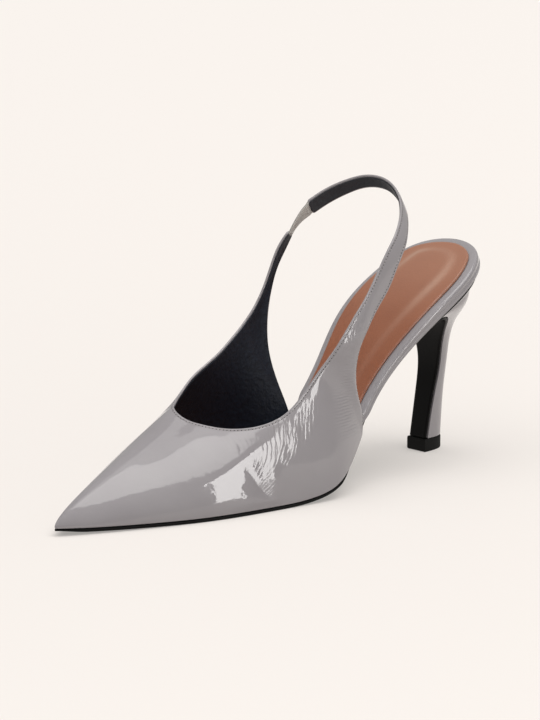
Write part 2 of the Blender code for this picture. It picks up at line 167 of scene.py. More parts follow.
# Points along and round the surfaces, distances of the columns next to an edge, steps between rows
RIB_SAMPLES = 241
PATENT_NEAR = np.array([0.0, 0.35, 0.6, 0.8, 1.0, 1.2, 1.45, 1.9])
PATENT_MIDDLE = 84
PATENT_INNER = 14
PATENT_STEPS = (0.95, 0.5)
LINING_NEAR = np.array([0.0, 0.5, 1.1])
LINING_MIDDLE = 50
LINING_STEPS = (1.6, 1.2)
NEAR_SHARE = 0.46
NEAR_LEAST = 0.05
FINE_RIBS = 8
END_ROWS = 3.0
END_STEP = 0.3
FOLD_POINTS = 8
FOLD_ENDS = (30.0, 55.0, 75.0)
STITCH_SAMPLES = 1500
STITCH_RINGS = 7
STITCH_ROUND = 6
HOLE_ROUND = 12
ELASTIC_ROWS = 90
ELASTIC_ROUND = 96
RIM_COLUMNS = 12
SOCK_COLUMNS = 60
LAYER_RINGS = 260
SOLE_COLUMNS = 16
SOLE_RINGS = 300
FLAP_RINGS = 140
HEEL_LEVELS = 90
HEEL_COLUMNS = 40

# Angles at which the rings start, in radians round the sole and in degrees round the heel
SOLE_TIP = 0.02
BOARD_START = np.pi - 0.004
SOCK_START = np.pi - 0.006
HEEL_FIRST = 1.0

# Edges that turn more than this many degrees are shaded crisp
LAYER_CRISP = 50
HEEL_CRISP = 40
TOP_PIECE_CRISP = 35

# Edge of the sole seen from above: distance from the back, lateral edge, medial edge
OUTLINE = [
    (0.0, 0.0, 0.0),
    (10.0, 21.2, -21.6),
    (28.0, 27.3, -26.0),
    (55.0, 25.2, -25.0),
    (84.0, 25.2, -16.8),
    (94.0, 29.8, -17.2),
    (106.0, 35.2, -23.4),
    (118.0, 38.2, -30.0),
    (130.0, 37.0, -34.8),
    (150.0, 33.9, -37.0),
    (180.0, 28.2, -32.8),
    (207.0, 18.7, -23.4),
    (228.0, 9.8, -13.2),
    (240.0, 3.7, -5.6),
    (246.0, -0.8, -0.8),
]

# Height of the top of the sole: distance from the back, height
SEAT = [
    (0.0, 90.0),
    (30.0, 73.9),
    (57.0, 55.8),
    (83.0, 32.2),
    (100.0, 17.8),
    (115.0, 7.3),
    (130.0, 2.6),
    (148.0, 1.5),
]

# Ribs of the vamp, from the medial cut round the toe to the lateral cut.
# side of the foot (-1 medial, 1 lateral), distance of the foot of the rib from the back,
# topline point x y z, rise at the foot of the rib x y z, run at the topline x y z
VAMP = [
    (-1, 93.5, 116.0, -28.4, 63.6, 5.0, -5.0, 12.0, -7.5, 0.0, -12.5),
    (-1, 102.5, 121.0, -27.6, 60.7, 3.6, -4.2, 13.5, -6.0, -1.2, -13.5),
    (-1, 115.0, 128.0, -26.4, 57.0, 2.0, -2.8, 15.5, -3.5, -3.5, -14.5),
    (-1, 132.0, 137.0, -24.9, 53.4, 0.6, -2.0, 15.5, -1.0, -6.0, -14.0),
    (-1, 152.0, 147.0, -22.9, 49.6, 0.2, -1.5, 14.0, 2.0, -7.5, -13.0),
    (-1, 177.0, 155.5, -19.9, 45.6, 0.2, -1.2, 11.5, 6.0, -7.0, -12.5),
    (-1, 202.0, 161.5, -17.1, 42.9, 0.4, -0.8, 9.0, 12.0, -5.5, -12.0),
    (-1, 224.0, 165.5, -14.6, 41.3, 0.5, -0.8, 8.2, 19.0, -3.0, -12.0),
    (-1, 238.0, 168.3, -11.6, 40.8, 0.7, -0.6, 7.2, 24.0, -0.5, -12.0),
    (1, 246.0, 170.0, -7.2, 39.4, 0.9, 0.0, 7.2, 26.0, 2.0, -11.5),
    (1, 238.0, 169.6, -2.6, 37.6, 0.8, 0.8, 7.4, 24.0, 4.0, -10.2),
    (1, 224.0, 167.5, 3.4, 36.2, 0.6, 1.4, 8.4, 20.0, 5.8, -9.2),
    (1, 202.0, 162.8, 10.9, 34.9, 0.4, 2.0, 10.0, 14.0, 7.6, -8.4),
    (1, 177.0, 156.3, 18.4, 34.8, 0.2, 0.8, 10.0, 8.0, 8.2, -7.6),
    (1, 152.0, 146.9, 24.2, 36.5, 0.4, -0.4, 9.5, 3.0, 7.2, -8.0),
    (1, 132.0, 137.2, 27.1, 40.8, 1.0, 0.2, 10.5, 0.6, 6.2, -9.5),
    (1, 116.0, 128.3, 28.3, 48.4, 2.0, 0.6, 12.5, -2.2, 4.6, -11.5),
    (1, 104.0, 121.5, 29.3, 55.5, 3.8, 1.6, 13.0, -5.0, 2.8, -12.5),
    (1, 94.0, 116.1, 30.3, 61.0, 5.6, 2.2, 12.0, -7.4, 1.4, -12.5),
]

# Medial wing, from its tip down to the cut: rear edge x y z, front edge x y z, swell of the middle
MEDIAL_WING = [
    (79.3, -31.0, 102.7, 84.2, -28.0, 105.2, 0.2),
    (82.9, -31.2, 96.3, 88.8, -29.4, 99.0, 0.3),
    (87.4, -31.3, 89.1, 93.0, -30.0, 90.6, 0.4),
    (91.4, -31.0, 79.0, 97.8, -30.2, 80.8, 0.6),
    (95.0, -29.6, 66.9, 103.4, -30.0, 73.3, 1.0),
    (96.5, -27.5, 53.1, 108.0, -29.5, 69.2, 1.4),
    (96.4, -23.4, 41.4, 112.0, -29.0, 66.2, 1.8),
]

# Lateral wing and sling, from the cut up and round the heel: rear edge, front edge, swell
SLING = [
    (94.0, 29.4, 31.4, 113.0, 31.2, 64.8, 1.6),
    (98.0, 30.4, 41.1, 110.2, 31.9, 68.5, 1.3),
    (100.6, 31.5, 50.8, 106.6, 32.0, 72.5, 1.0),
    (98.9, 32.1, 62.2, 101.6, 31.8, 77.8, 0.7),
    (95.0, 32.2, 69.0, 97.2, 31.3, 81.7, 0.5),
    (87.9, 31.5, 77.7, 91.6, 30.6, 87.4, 0.4),
    (79.0, 30.3, 86.2, 84.6, 29.4, 95.4, 0.3),
    (71.5, 29.0, 96.0, 77.4, 27.7, 102.9, 0.3),
    (65.0, 27.0, 103.0, 70.2, 25.2, 108.7, 0.3),
    (59.2, 22.8, 108.2, 63.2, 21.2, 114.0, 0.3),
    (53.4, 17.1, 112.9, 56.4, 15.4, 119.2, 0.3),
    (47.6, 8.0, 117.8, 50.4, 7.0, 124.2, 0.3),
    (45.4, -2.6, 122.0, 48.1, -3.0, 128.1, 0.3),
    (47.9, -13.0, 122.5, 51.0, -12.5, 128.7, 0.3),
    (53.1, -20.6, 119.5, 57.5, -20.0, 125.9, 0.3),
    (59.3, -26.0, 115.4, 63.8, -25.2, 122.2, 0.3),
    (67.6, -28.9, 110.7, 72.0, -28.1, 117.5, 0.3),
]

# Arch and breast of the heel from the side: distance from the back, height, half width
BREAST = [
    (50.0, 61.4, 23.0),
    (42.6, 64.8, 23.6),
    (35.4, 66.2, 22.6),
    (28.8, 64.0, 18.8),
    (23.8, 58.0, 12.6),
    (21.3, 49.6, 8.3),
    (21.0, 40.0, 6.7),
    (22.7, 30.0, 6.0),
    (24.8, 20.0, 5.6),
    (27.3, 6.3, 5.4),
]

# Back of the heel from the side: distance from the back, height
HEEL_BACK = [
    (5.2, 85.0),
    (7.2, 79.0),
    (9.4, 70.0),
    (11.0, 60.5),
    (11.8, 50.0),
    (12.6, 40.0),
    (13.6, 30.0),
    (14.2, 20.0),
    (14.8, 6.3),
]

# Side of the wrapped rim from its foot up: inset, share of the height, painted shade in its groove and
# along its underside
RIM_SIDE = [
    (1.3, 0.0, 1.0),
    (0.6, 0.03, 1.0),
    (0.25, 0.08, 1.0),
    (0.08, 0.14, 0.5),
    (0.0, 0.21, 0.0),
    (0.0, 0.3, 0.0),
    (0.08, 0.4, 0.0),
    (0.24, 0.5, 0.15),
    (0.1, 0.6, 0.0),
    (0.0, 0.68, 0.0),
    (0.0, 0.78, 0.0),
    (0.18, 0.88, 0.0),
    (0.55, 0.96, 0.0),
    (1.2, 1.0, 0.0),
]

# Side of the sole from its top down: inset, share of the thickness
SOLE_SIDE = [
    (0.4, 0.0),
    (0.12, 0.05),
    (0.0, 0.18),
    (0.0, 0.6),
    (0.12, 0.82),
    (0.4, 0.95),
    (0.8, 1.0),
]

# Side of the sock from its foot up: inset from its edge, share of the height
SOCK_SIDE = [
    (0.0, 0.0),
    (0.0, 0.55),
    (0.12, 0.82),
    (0.45, 0.97),
    (0.9, 1.0),
]

# Side of the top piece from the floor up: how far it swells, height
TOP_PIECE_SIDE = [
    (-0.35, 0.0),
    (0.0, 0.15),
    (0.2, 0.5),
    (0.25, 0.9),
    (0.25, 5.3),
    (0.18, 5.75),
    (0.0, TOP_PIECE),
]

# Creases pressed into the upper: middle x y z, way it runs x y z, half length, half width, depth.
# A depth below 0 is a ridge.
CREASES = [
    (150.5, 32.2, 13.5, -0.2, 0.12, -0.97, 8.0, 3.5, -0.4),
    (152.0, 33.0, 2.5, 1.0, -0.2, 0.0, 6.0, 6.5, -0.4),
    (145.5, 31.5, 25.0, 0.1, 0.1, -0.98, 9.0, 7.0, -0.25),
    (137.0, 30.0, 36.0, 0.3, 0.2, -0.93, 8.0, 5.0, -0.2),
    (160.0, 31.3, 13.0, -0.52, 0.28, -0.8, 8.0, 1.8, 0.12),
    (163.0, 31.5, 3.5, 1.0, -0.25, 0.0, 13.0, 6.0, -0.35),
    (141.0, 30.0, 32.0, 0.3, 0.2, -0.93, 8.0, 1.8, 0.12),
    (137.0, 30.5, 34.5, 0.3, 0.2, -0.93, 8.0, 1.6, -0.1),
    (133.0, 31.0, 36.5, 0.3, 0.2, -0.93, 8.0, 1.6, 0.1),
    (129.0, 31.0, 39.5, 0.3, 0.2, -0.93, 7.0, 1.5, -0.08),
    (163.0, 20.5, 31.0, 0.6, 0.5, -0.62, 8.0, 2.2, 0.1),
    (103.0, 32.2, 62.0, 0.9, 0.0, 0.42, 7.0, 1.4, 0.14),
    (101.0, 32.2, 66.5, 0.88, 0.0, 0.48, 6.0, 1.3, -0.1),
    (98.0, 32.1, 71.5, 0.86, 0.0, 0.5, 5.0, 1.3, 0.12),
    (104.0, 32.3, 55.5, 0.95, 0.0, 0.3, 7.0, 1.3, 0.1),
    (104.0, 33.0, 44.0, 0.98, 0.1, 0.1, 8.0, 1.4, 0.1),
    (103.0, 34.0, 30.0, 0.95, 0.2, -0.1, 6.0, 1.6, 0.12),
    (138.0, -30.5, 34.0, 0.5, 0.0, -0.86, 10.0, 2.2, 0.14),
    (132.0, -30.5, 38.0, 0.4, 0.0, -0.9, 10.0, 1.8, -0.1),
    (104.0, -30.0, 60.0, 0.9, 0.0, 0.4, 6.0, 1.5, 0.1),
    (99.6, 32.3, 68.6, -0.75, 0.05, 0.67, 9.0, 5.5, -0.85),
]

# Fine lines of the flex: how far apart, how long, the height below which they bend back, their lean
CRINKLE_PITCH = 1.15
CRINKLE_LONG = 6.0
CRINKLE_BEND = 27.0
CRINKLE_SWEEP = 0.035
CRINKLE_LEAN = 0.25
CRINKLE_SLANT = 0.2
STROKE_PITCH = 2.0
STROKE_PEAK = 0.7
RIPPLE_PITCH = 1.35
SPOT_LIMIT = 4.5

# Where the patent film is broken into fine lines: middle x y z, half size x y z, strength
CRINKLED = [
    (132.0, 31.0, 37.0, 5.0, 9.0, 7.0, 1.0),
    (127.0, 31.0, 41.0, 3.0, 9.0, 5.0, 0.6),
    (140.0, 30.0, 32.0, 6.0, 9.0, 6.0, 1.0),
    (143.0, 27.5, 35.0, 4.0, 6.0, 3.0, 4.0),
    (148.0, 30.5, 26.0, 6.0, 9.0, 5.0, 0.9),
    (156.0, 30.0, 20.0, 6.0, 9.0, 6.0, 0.8),
    (153.0, 33.0, 11.0, 4.0, 9.0, 5.0, 0.35),
    (109.0, 32.0, 66.5, 4.0, 9.0, 4.0, 1.3),
    (104.0, 32.0, 71.0, 4.0, 9.0, 4.0, 1.3),
    (97.0, 32.0, 78.0, 5.0, 9.0, 4.0, 0.7),
    (163.0, 18.0, 31.5, 5.0, 8.0, 5.0, 0.4),
    (134.0, -30.0, 36.0, 10.0, 9.0, 10.0, 0.8),
    (146.0, -31.0, 26.0, 9.0, 9.0, 8.0, 0.7),
    (103.0, -30.0, 68.0, 9.0, 9.0, 8.0, 0.7),
]

# Where the film lies in soft level ripples, in the same way
RIPPLED = [
    (104.0, 33.0, 50.0, 7.0, 9.0, 13.0, 1.0),
    (109.0, 34.5, 34.0, 8.0, 9.0, 9.0, 0.8),
    (101.0, 33.0, 26.0, 6.0, 9.0, 6.0, 0.8),
    (101.0, -28.0, 48.0, 7.0, 9.0, 13.0, 0.8),
]


def spline(xs, ys, start=None, end=None):
    """Smooth cubic curve through points; the slope at an end is free unless it is given."""
    xs = np.asarray(xs, float)
    ys = np.asarray(ys, float)
    n = len(xs)
    h = np.diff(xs)
    a = np.zeros((n, n))
    b = np.zeros(n)
    for i in range(1, n - 1):
        a[i, i - 1:i + 2] = h[i - 1], 2 * (h[i - 1] + h[i]), h[i]
        b[i] = 6 * ((ys[i + 1] - ys[i]) / h[i] - (ys[i] - ys[i - 1]) / h[i - 1])
    a[0, 0] = 1
    a[-1, -1] = 1
    if start is not None:
        a[0, :2] = 2 * h[0], h[0]
        b[0] = 6 * ((ys[1] - ys[0]) / h[0] - start)
    if end is not None:
        a[-1, -2:] = h[-1], 2 * h[-1]
        b[-1] = 6 * (end - (ys[-1] - ys[-2]) / h[-1])
    m = np.linalg.solve(a, b)

    def curve(x):
        x = np.asarray(x, float)
        i = np.clip(np.searchsorted(xs, x) - 1, 0, n - 2)
        p = x - xs[i]
        q = xs[i + 1] - x
        bend = (m[i] * q**3 + m[i + 1] * p**3) / (6 * h[i])
        return bend + (ys[i] / h[i] - m[i] * h[i] / 6) * q + (ys[i + 1] / h[i] - m[i + 1] * h[i] / 6) * p
    return curve


def run_along(points):
    """Distance along a row of points, 0 at the first."""
    return np.concatenate([[0.0], np.cumsum(np.linalg.norm(np.diff(points, axis=0), axis=1))])


def path(points):
    """Smooth curve through rows of numbers, run from 0 to 1 by the distance between the rows."""
    points = np.asarray(points, float)
    run = run_along(points)
    parts = [spline(run / run[-1], column) for column in points.T]
    return lambda t: np.stack([part(t) for part in parts], -1)


def unit(v):
    """Vectors made one long."""
    return v / np.maximum(np.linalg.norm(v, axis=-1, keepdims=True), 1e-9)


def blend(x, low, high):
    """Smooth step from 0 at low to 1 at high."""
    t = np.clip((np.asarray(x, float) - low) / (high - low), 0, 1)
    return t * t * (3 - 2 * t)


def turn(x):
    """Angle that runs 0 at the toe tip to pi at the back of the seat."""
    return np.arccos(np.clip(2 * np.asarray(x, float) / LENGTH - 1, -1, 1))


def make_outline():
    """Closed edge of the sole by one angle: below 0 medial, 0 at the toe tip, above 0 lateral."""
    rows = [(-turn(x), medial) for x, lateral, medial in OUTLINE[:-1]]
    rows += [(0.0, OUTLINE[-1][1])]
    rows += [(turn(x), lateral) for x, lateral, medial in OUTLINE[-2::-1]]
    before = [(a - 2 * np.pi, y) for a, y in rows[-4:-1]]
    after = [(a + 2 * np.pi, y) for a, y in rows[1:4]]
    rows = np.array(before + rows + after)
    side = spline(rows[:, 0], rows[:, 1])
    return lambda a: np.stack([LENGTH / 2 * (1 + np.cos(a)), side(a)], -1)


edge = make_outline()


def inset_edge(a, inset):
    """The edge of the sole moved inwards in plan, square to itself."""
    along = unit(edge(a + 1e-4) - edge(a - 1e-4))
    inward = np.stack([-along[..., 1], along[..., 0]], -1)
    return edge(a) + np.asarray(inset, float)[..., None] * inward


seat_curve = spline([row[0] for row in SEAT], [row[1] for row in SEAT], None, 0.0)


def seat(x):
    """Height of the top of the sole along the shoe."""
    x = np.asarray(x, float)
    back = seat_curve(np.minimum(x, TREAD_BACK))
    front = TREAD + TOE_SPRING * (np.maximum(x - TREAD_FRONT, 0) / (LENGTH - TREAD_FRONT))**2
    return np.where(x < TREAD_BACK, back, front)


def seat_slope(x):
    """Rise of the top of the sole for each step along the shoe."""
    return (seat(x + 0.01) - seat(x - 0.01)) / 0.02


def lift(plan, height):
    """Points of a plan put on the top of the sole and raised square to it."""
    x = plan[..., 0]
    slope = seat_slope(x)
    size = np.sqrt(1 + slope**2)
    return np.stack([x - height * slope / size, plan[..., 1], seat(x) + height / size], -1)


def quads(index):
    """Four corners of every cell of a grid of point numbers."""
    return np.stack([index[:-1, :-1], index[:-1, 1:], index[1:, 1:], index[1:, :-1]], -1).reshape(-1, 4)


def ring_faces(rows, columns):
    """Faces of a tube of rings with an end face over the first ring and the last."""
    index = np.arange(rows * columns).reshape(rows, columns)
    closed = np.concatenate([index, index[:, :1]], axis=1)
    return quads(closed).tolist() + [index[0, ::-1].tolist(), index[-1].tolist()]


def put(name, data):
    """A new object in the scene."""
    made = bpy.data.objects.new(name, data)
    bpy.context.scene.collection.objects.link(made)
    return made


def add_piece(name, points, faces, skin, node=None, slot=None, **marks):
    """A named mesh that rides on the shoe; marks are values kept at its points for the material."""
    mesh = bpy.data.meshes.new(name)
    points = np.asarray(points, float).reshape(-1, 3)
    mesh.from_pydata(((points - MIDDLE) / 1000).tolist(), [], faces)
    turned = bmesh.new()
    turned.from_mesh(mesh)
    bmesh.ops.recalc_face_normals(turned, faces=turned.faces)
    turned.to_mesh(mesh)
    turned.free()
    for mark, values in marks.items():
        values = np.asarray(values, np.float32)
        kind, field = ("FLOAT_VECTOR", "vector") if values.size == points.size else ("FLOAT", "value")
        mesh.attributes.new(mark, kind, "POINT").data.foreach_set(field, values.ravel())
    mesh.materials.append(skin)
    mesh.shade_smooth()
    made = put(name, mesh)
    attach(made, "root")
    if node:
        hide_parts(node)
    return made


def add_rings(name, rings, skin, node=None, slot=None, **marks):
    """A piece made of closed rings, one after another."""
    return add_piece(name, rings, ring_faces(*rings.shape[:2]), skin, node, slot, **marks)


def crisp(made, degrees):
    """Crisp shading over edges that turn more than the angle."""
    made.data.set_sharp_from_angle(angle=np.radians(degrees))


def colour(code):
    """Linear colour of an sRGB hex value."""
    part = np.array([int(code[i:i + 2], 16) for i in (1, 3, 5)]) / 255
    part = np.where(part <= 0.04045, part / 12.92, ((part + 0.055) / 1.055)**2.4)
    return (*part.tolist(), 1.0)


def per_metre(millimetres):
    """Scale of a noise whose grain is this wide."""
    return 1000.0 / millimetres


def wave_scale(millimetres):
    """Scale of a wave texture whose bands are this far apart."""
    return 2 * np.pi / 20 * 1000.0 / millimetres


def set_inputs(tree, node, inputs):
    """Give the inputs of a node their fixed values or their links."""
    for socket, value in inputs.items():
        if isinstance(value, bpy.types.NodeSocket):
            tree.links.new(value, node.inputs[socket])
        else:
            node.inputs[socket].default_value = value


def add_node(tree, kind, out, inputs=None, **settings):
    """The output named out of a new shader node with its settings, its fixed inputs and its links."""
    made = tree.nodes.new("ShaderNode" + kind)
    for name, value in settings.items():
        setattr(made, name, value)
    set_inputs(tree, made, inputs or {})
    return made.outputs[out]


def start_material(name):
    """A new material, its node tree, its shader and the place of each point in metres."""
    made = bpy.data.materials.new(name)
    made.use_nodes = True
    tree = made.node_tree
    shader = tree.nodes["Principled BSDF"]
    place = add_node(tree, "TexCoord", "Object")
    return made, tree, shader, place


def patent_leather(name, crinkled):
    """Grey leather under a thick clear film, rolled smooth.

    The film gives sharp bright reflections that waver over the leather's own grain. Where the
    upper was pulled over the last the film is broken into fine lines.
    """
    made, tree, shader, place = start_material(name)
    cloud = add_node(tree, "TexNoise", "Fac", {"Vector": place, "Scale": per_metre(24.0), "Detail": 3.0})
    shade = add_node(tree, "Mix", "Result", {
        "Factor": cloud, "A": colour("#868286"), "B": colour("#939093")}, data_type="RGBA")
    peel = add_node(tree, "TexNoise", "Fac", {"Vector": place, "Scale": per_metre(5.0), "Detail": 2.0})
    relief = add_node(tree, "Bump", "Normal", {"Height": peel, "Distance": 0.00006})
    if crinkled:
        drawn = add_node(tree, "Attribute", "Vector", attribute_name="drawn")
        narrow = add_node(tree, "VectorMath", "Vector", {
            0: drawn, 1: (1 / CRINKLE_PITCH, 1 / CRINKLE_LONG, 0.0)}, operation="MULTIPLY")
        lines = add_node(tree, "TexNoise", "Fac", {
            "Vector": narrow, "Scale": 1.0, "Detail": 1.5, "Distortion": 0.3})
        saw = add_node(tree, "TexWave", "Fac", {
            "Vector": drawn, "Scale": wave_scale(STROKE_PITCH) / 1000, "Distortion": 4.0,
            "Detail": 2.0, "Detail Scale": 1.3}, bands_direction="X", wave_profile="SAW")
        strokes = add_node(tree, "MapRange", "Result", {
            "Value": saw, "From Min": 1.0, "From Max": STROKE_PEAK})
        rise = add_node(tree, "Math", "Value", {0: saw, 1: STROKE_PEAK}, operation="DIVIDE")
        tooth = add_node(tree, "Math", "Value", {0: rise, 1: strokes}, operation="MINIMUM")
        ripples = add_node(tree, "TexWave", "Fac", {
            "Vector": place, "Scale": wave_scale(RIPPLE_PITCH), "Distortion": 2.2,
            "Detail": 2.0, "Detail Scale": 0.6}, bands_direction="Z")
        for pattern, mark, deep in (
                (lines, "crinkle", 0.00006),
                (tooth, "crinkle", 0.00004),
                (ripples, "ripple", 0.00007)):
            share = add_node(tree, "Attribute", "Fac", attribute_name=mark)
            height = add_node(tree, "Math", "Value", {0: pattern, 1: share}, operation="MULTIPLY")
            relief = add_node(tree, "Bump", "Normal", {
                "Height": height, "Distance": deep, "Normal": relief})
    else:
        # Painted shade: the wrapped rim is coloured darker in its groove and along its underside against
        # the heel.
        seam = add_node(tree, "Attribute", "Fac", attribute_name="seam")
        shade = add_node(tree, "Mix", "Result", {
            "Factor": seam, "A": shade, "B": colour("#2a2828")}, data_type="RGBA")
    set_inputs(tree, shader, {
        "Base Color": shade, "Normal": relief, "Roughness": 0.42, "Specular IOR Level": 0.25,
        "Coat Normal": relief, "Coat Weight": 1.0, "Coat Roughness": 0.04, "Coat IOR": 1.52})
    return made


def lining_leather():
    """Black lining leather, aniline dyed: fine pores, a low blue sheen, and a paler painted sheen higher
    up.
    """
    made, tree, shader, place = start_material("black lining leather")
    pores = add_node(tree, "TexVoronoi", "Distance", {"Vector": place, "Scale": per_metre(0.9)})
    grain = add_node(tree, "TexNoise", "Fac", {"Vector": place, "Scale": per_metre(2.2), "Detail": 5.0})
    tone = add_node(tree, "Mix", "Result", {
        "Factor": grain, "A": colour("#0b1017"), "B": colour("#1c2432")}, data_type="RGBA")
    deep = add_node(tree, "Bump", "Normal", {"Height": pores, "Distance": 0.00012})
    soft = add_node(tree, "Bump", "Normal", {"Height": grain, "Distance": 0.0005, "Normal": deep})
    # Painted sheen: the lining is mixed paler with height.
    split = add_node(tree, "SeparateXYZ", "Z", {"Vector": place})
    height = add_node(tree, "MapRange", "Result", {
        "Value": split, "From Min": PAINTED_SHEEN_HEIGHTS[0] / 1000, "From Max": PAINTED_SHEEN_HEIGHTS[1] / 1000,
        "To Min": 0.0, "To Max": 0.8})
    painted_sheen = add_node(tree, "Mix", "Result", {
        "Factor": height, "A": tone, "B": colour("#36373b")}, data_type="RGBA")
    set_inputs(tree, shader, {
        "Base Color": painted_sheen, "Normal": soft, "Roughness": 0.5, "Specular IOR Level": 0.2})
    return made


def sock_leather():
    """Tan calf leather, smooth and polished by hand: fine pores, cloudy dye, a pale painted sheen and
    highlight at the seat.
    """
    made, tree, shader, place = start_material("tan sock leather")
    cloud = add_node(tree, "TexNoise", "Fac", {"Vector": place, "Scale": per_metre(18.0), "Detail": 4.0})
    pores = add_node(tree, "TexVoronoi", "Distance", {"Vector": place, "Scale": per_metre(0.8)})
    tone = add_node(tree, "Mix", "Result", {
        "Factor": cloud, "A": colour("#814423"), "B": colour("#915433")}, data_type="RGBA")
    # Painted sheen and highlight: the tan is mixed towards a pale tone where light would glance off the
    # seat and the pad's edge.
    painted_sheen_share = add_node(tree, "Attribute", "Fac", attribute_name="bloom")
    pale = add_node(tree, "Mix", "Result", {
        "Factor": painted_sheen_share, "A": tone, "B": colour("#b1907c")}, data_type="RGBA")
    fine = add_node(tree, "Bump", "Normal", {"Height": pores, "Distance": 0.00008})
    set_inputs(tree, shader, {
        "Base Color": pale, "Normal": fine, "Roughness": 0.5,
        "Coat Weight": 0.7, "Coat Roughness": 0.3})
    return made


def knit_elastic():
    """Grey knitted elastic: ribs and cross threads from the mesh, painted shade in the grooves between the
    ribs, a fine nap here, no shine.
    """
    made, tree, shader, place = start_material("grey knitted elastic")
    # Painted shade: the grooves between the ribs are coloured darker.
    share = add_node(tree, "Attribute", "Fac", attribute_name="groove")
    fuzz = add_node(tree, "TexNoise", "Fac", {"Vector": place, "Scale": per_metre(0.5), "Detail": 3.0})
    tone = add_node(tree, "Mix", "Result", {
        "Factor": share, "A": colour("#c4c1bc"), "B": colour("#8b8884")}, data_type="RGBA")
    nap = add_node(tree, "Bump", "Normal", {"Height": fuzz, "Distance": 0.0002})
    set_inputs(tree, shader, {
        "Base Color": tone, "Normal": nap, "Roughness": 0.85, "Sheen Weight": 0.25})
    return made


def black_moulding(name, tone_dark, tone_light, roughness, grit):
    """Black resin rubber, moulded and buffed: faint grit, a soft broken shine."""
    made, tree, shader, place = start_material(name)
    speck = add_node(tree, "TexNoise", "Fac", {"Vector": place, "Scale": per_metre(grit), "Detail": 4.0})
    tone = add_node(tree, "Mix", "Result", {
        "Factor": speck, "A": colour(tone_dark), "B": colour(tone_light)}, data_type="RGBA")
    rough = add_node(tree, "Bump", "Normal", {"Height": speck, "Distance": 0.00004})
    set_inputs(tree, shader, {
        "Base Color": tone, "Normal": rough, "Roughness": roughness, "Specular IOR Level": 0.12})
    return made


def waxed_thread():
    """Grey polyester thread, twisted and waxed: a fine slant of the twist, little shine."""
    made, tree, shader, place = start_material("grey waxed thread")
    twist = add_node(tree, "TexWave", "Fac", {
        "Vector": place, "Scale": wave_scale(0.35)}, bands_direction="DIAGONAL")
    tone = add_node(tree, "Mix", "Result", {
        "Factor": twist, "A": colour("#8a8687"), "B": colour("#a9a5a5")}, data_type="RGBA")
    set_inputs(tree, shader, {"Base Color": tone, "Roughness": 0.6})
    return made


def studio_floor():
    """Pale translucent floor lit a little from below, more so further out: an even cream, soft shadows."""
    made, tree, shader, place = start_material("pale lit floor")
    away = add_node(tree, "VectorMath", "Value", {0: place}, operation="LENGTH")
    glow = add_node(tree, "MapRange", "Result", {
        "Value": away, "From Min": 0.1, "From Max": 3.0, "To Min": 0.36, "To Max": 0.66})
    set_inputs(tree, shader, {
        "Emission Strength": glow, "Emission Color": colour("#fbf6f1"),
        "Base Color": colour("#b4b0ad"), "Roughness": 0.9, "Specular IOR Level": 0.1})
    return made


# The upper: ribs from the foot to the topline, carried along the shoe

def wing_ribs(table):
    """Ribs across a wing or the sling: four control points each, the middle swollen outwards.

    The middle of a cubic moves by three quarters of what its two inner points move.
    """
    wing = np.array(table)
    rear = wing[:, 0:3]
    front = wing[:, 3:6]
    along = np.gradient(0.5 * (rear + front), axis=0)
    third = (front - rear) / 3
    bulge = unit(np.cross(along, front - rear)) * wing[:, 6:] / 0.75
    return np.stack([rear, rear + third + bulge, front - third + bulge, front], axis=1)


def feather(a):
    """Edge where the upper meets the sole."""
    return lift(inset_edge(a, np.full_like(a, FEATHER_INSET)), GAP)


def vamp_ribs(angles):
    """Ribs of the vamp: four control points each, from the edge of the sole up to the topline."""
    vamp = np.array(VAMP)
    foot = feather(angles)
    top = vamp[:, 2:5]
    return np.stack([foot, foot + vamp[:, 5:8], top + vamp[:, 8:11], top], axis=1)


# Ribs from the tip of the medial wing to the end of the sling, and the mean distance along them
RIB_ANGLES = np.array([row[0] * turn(row[1]) for row in VAMP])
RIBS = np.concatenate([wing_ribs(MEDIAL_WING), vamp_ribs(RIB_ANGLES), wing_ribs(SLING)])
RUN = np.concatenate([[0.0], np.cumsum(np.linalg.norm(np.diff(RIBS, axis=0), axis=2).mean(axis=1))])

# Numbers of the ribs at the medial and the lateral cut
CUT_A = len(MEDIAL_WING)
CUT_B = CUT_A + len(VAMP) - 1


def rib_controls(t):
    """Control points at places along the upper: splines through the ribs, the foot exact on the sole."""
    def through(values, lo, hi, at):
        return np.stack([spline(RUN[lo:hi + 1], column)(at) for column in values[lo:hi + 1].T], -1)
    last = len(RUN) - 1
    made = np.stack([through(RIBS[:, i], 0, last, t) for i in range(4)], axis=1)
    inner = t < RUN[CUT_A]
    outer = t > RUN[CUT_B]
    bottom = ~(inner | outer)
    made[inner, 0] = through(RIBS[:, 0], 0, CUT_A, t[inner])
    made[outer, 0] = through(RIBS[:, 0], CUT_B, last, t[outer])
    made[bottom, 0] = feather(spline(RUN[CUT_A:CUT_B + 1], RIB_ANGLES)(t[bottom]))
    return made


def bezier(controls, v):
    """Points of each rib at its own list of shares: the cubic of four control points."""
    v = v[..., None]
    a, b, c, d = (controls[:, None, i] for i in range(4))
    return (1 - v)**3 * a + 3 * v * (1 - v)**2 * b + 3 * v**2 * (1 - v) * c + v**3 * d


def upper_rows(step, fine_step):
    """Places of the rows along the upper: close together on the lateral flex, wing and both ends."""
    total = RUN[-1]
    fine_from = RUN[CUT_B - FINE_RIBS]
    fine_to = RUN[CUT_B + FINE_RIBS]
    t = [0.0]
    while t[-1] < total:
        if min(t[-1], total - t[-1]) < END_ROWS:
            t.append(t[-1] + END_STEP)
        else:
            t.append(t[-1] + (fine_step if fine_from < t[-1] < fine_to else step))
    t = np.array(t)
    t *= total / t[-1]
    corners = RUN[[CUT_A, CUT_B]]
    t[np.abs(t[:, None] - corners).argmin(axis=0)] = corners
    return t


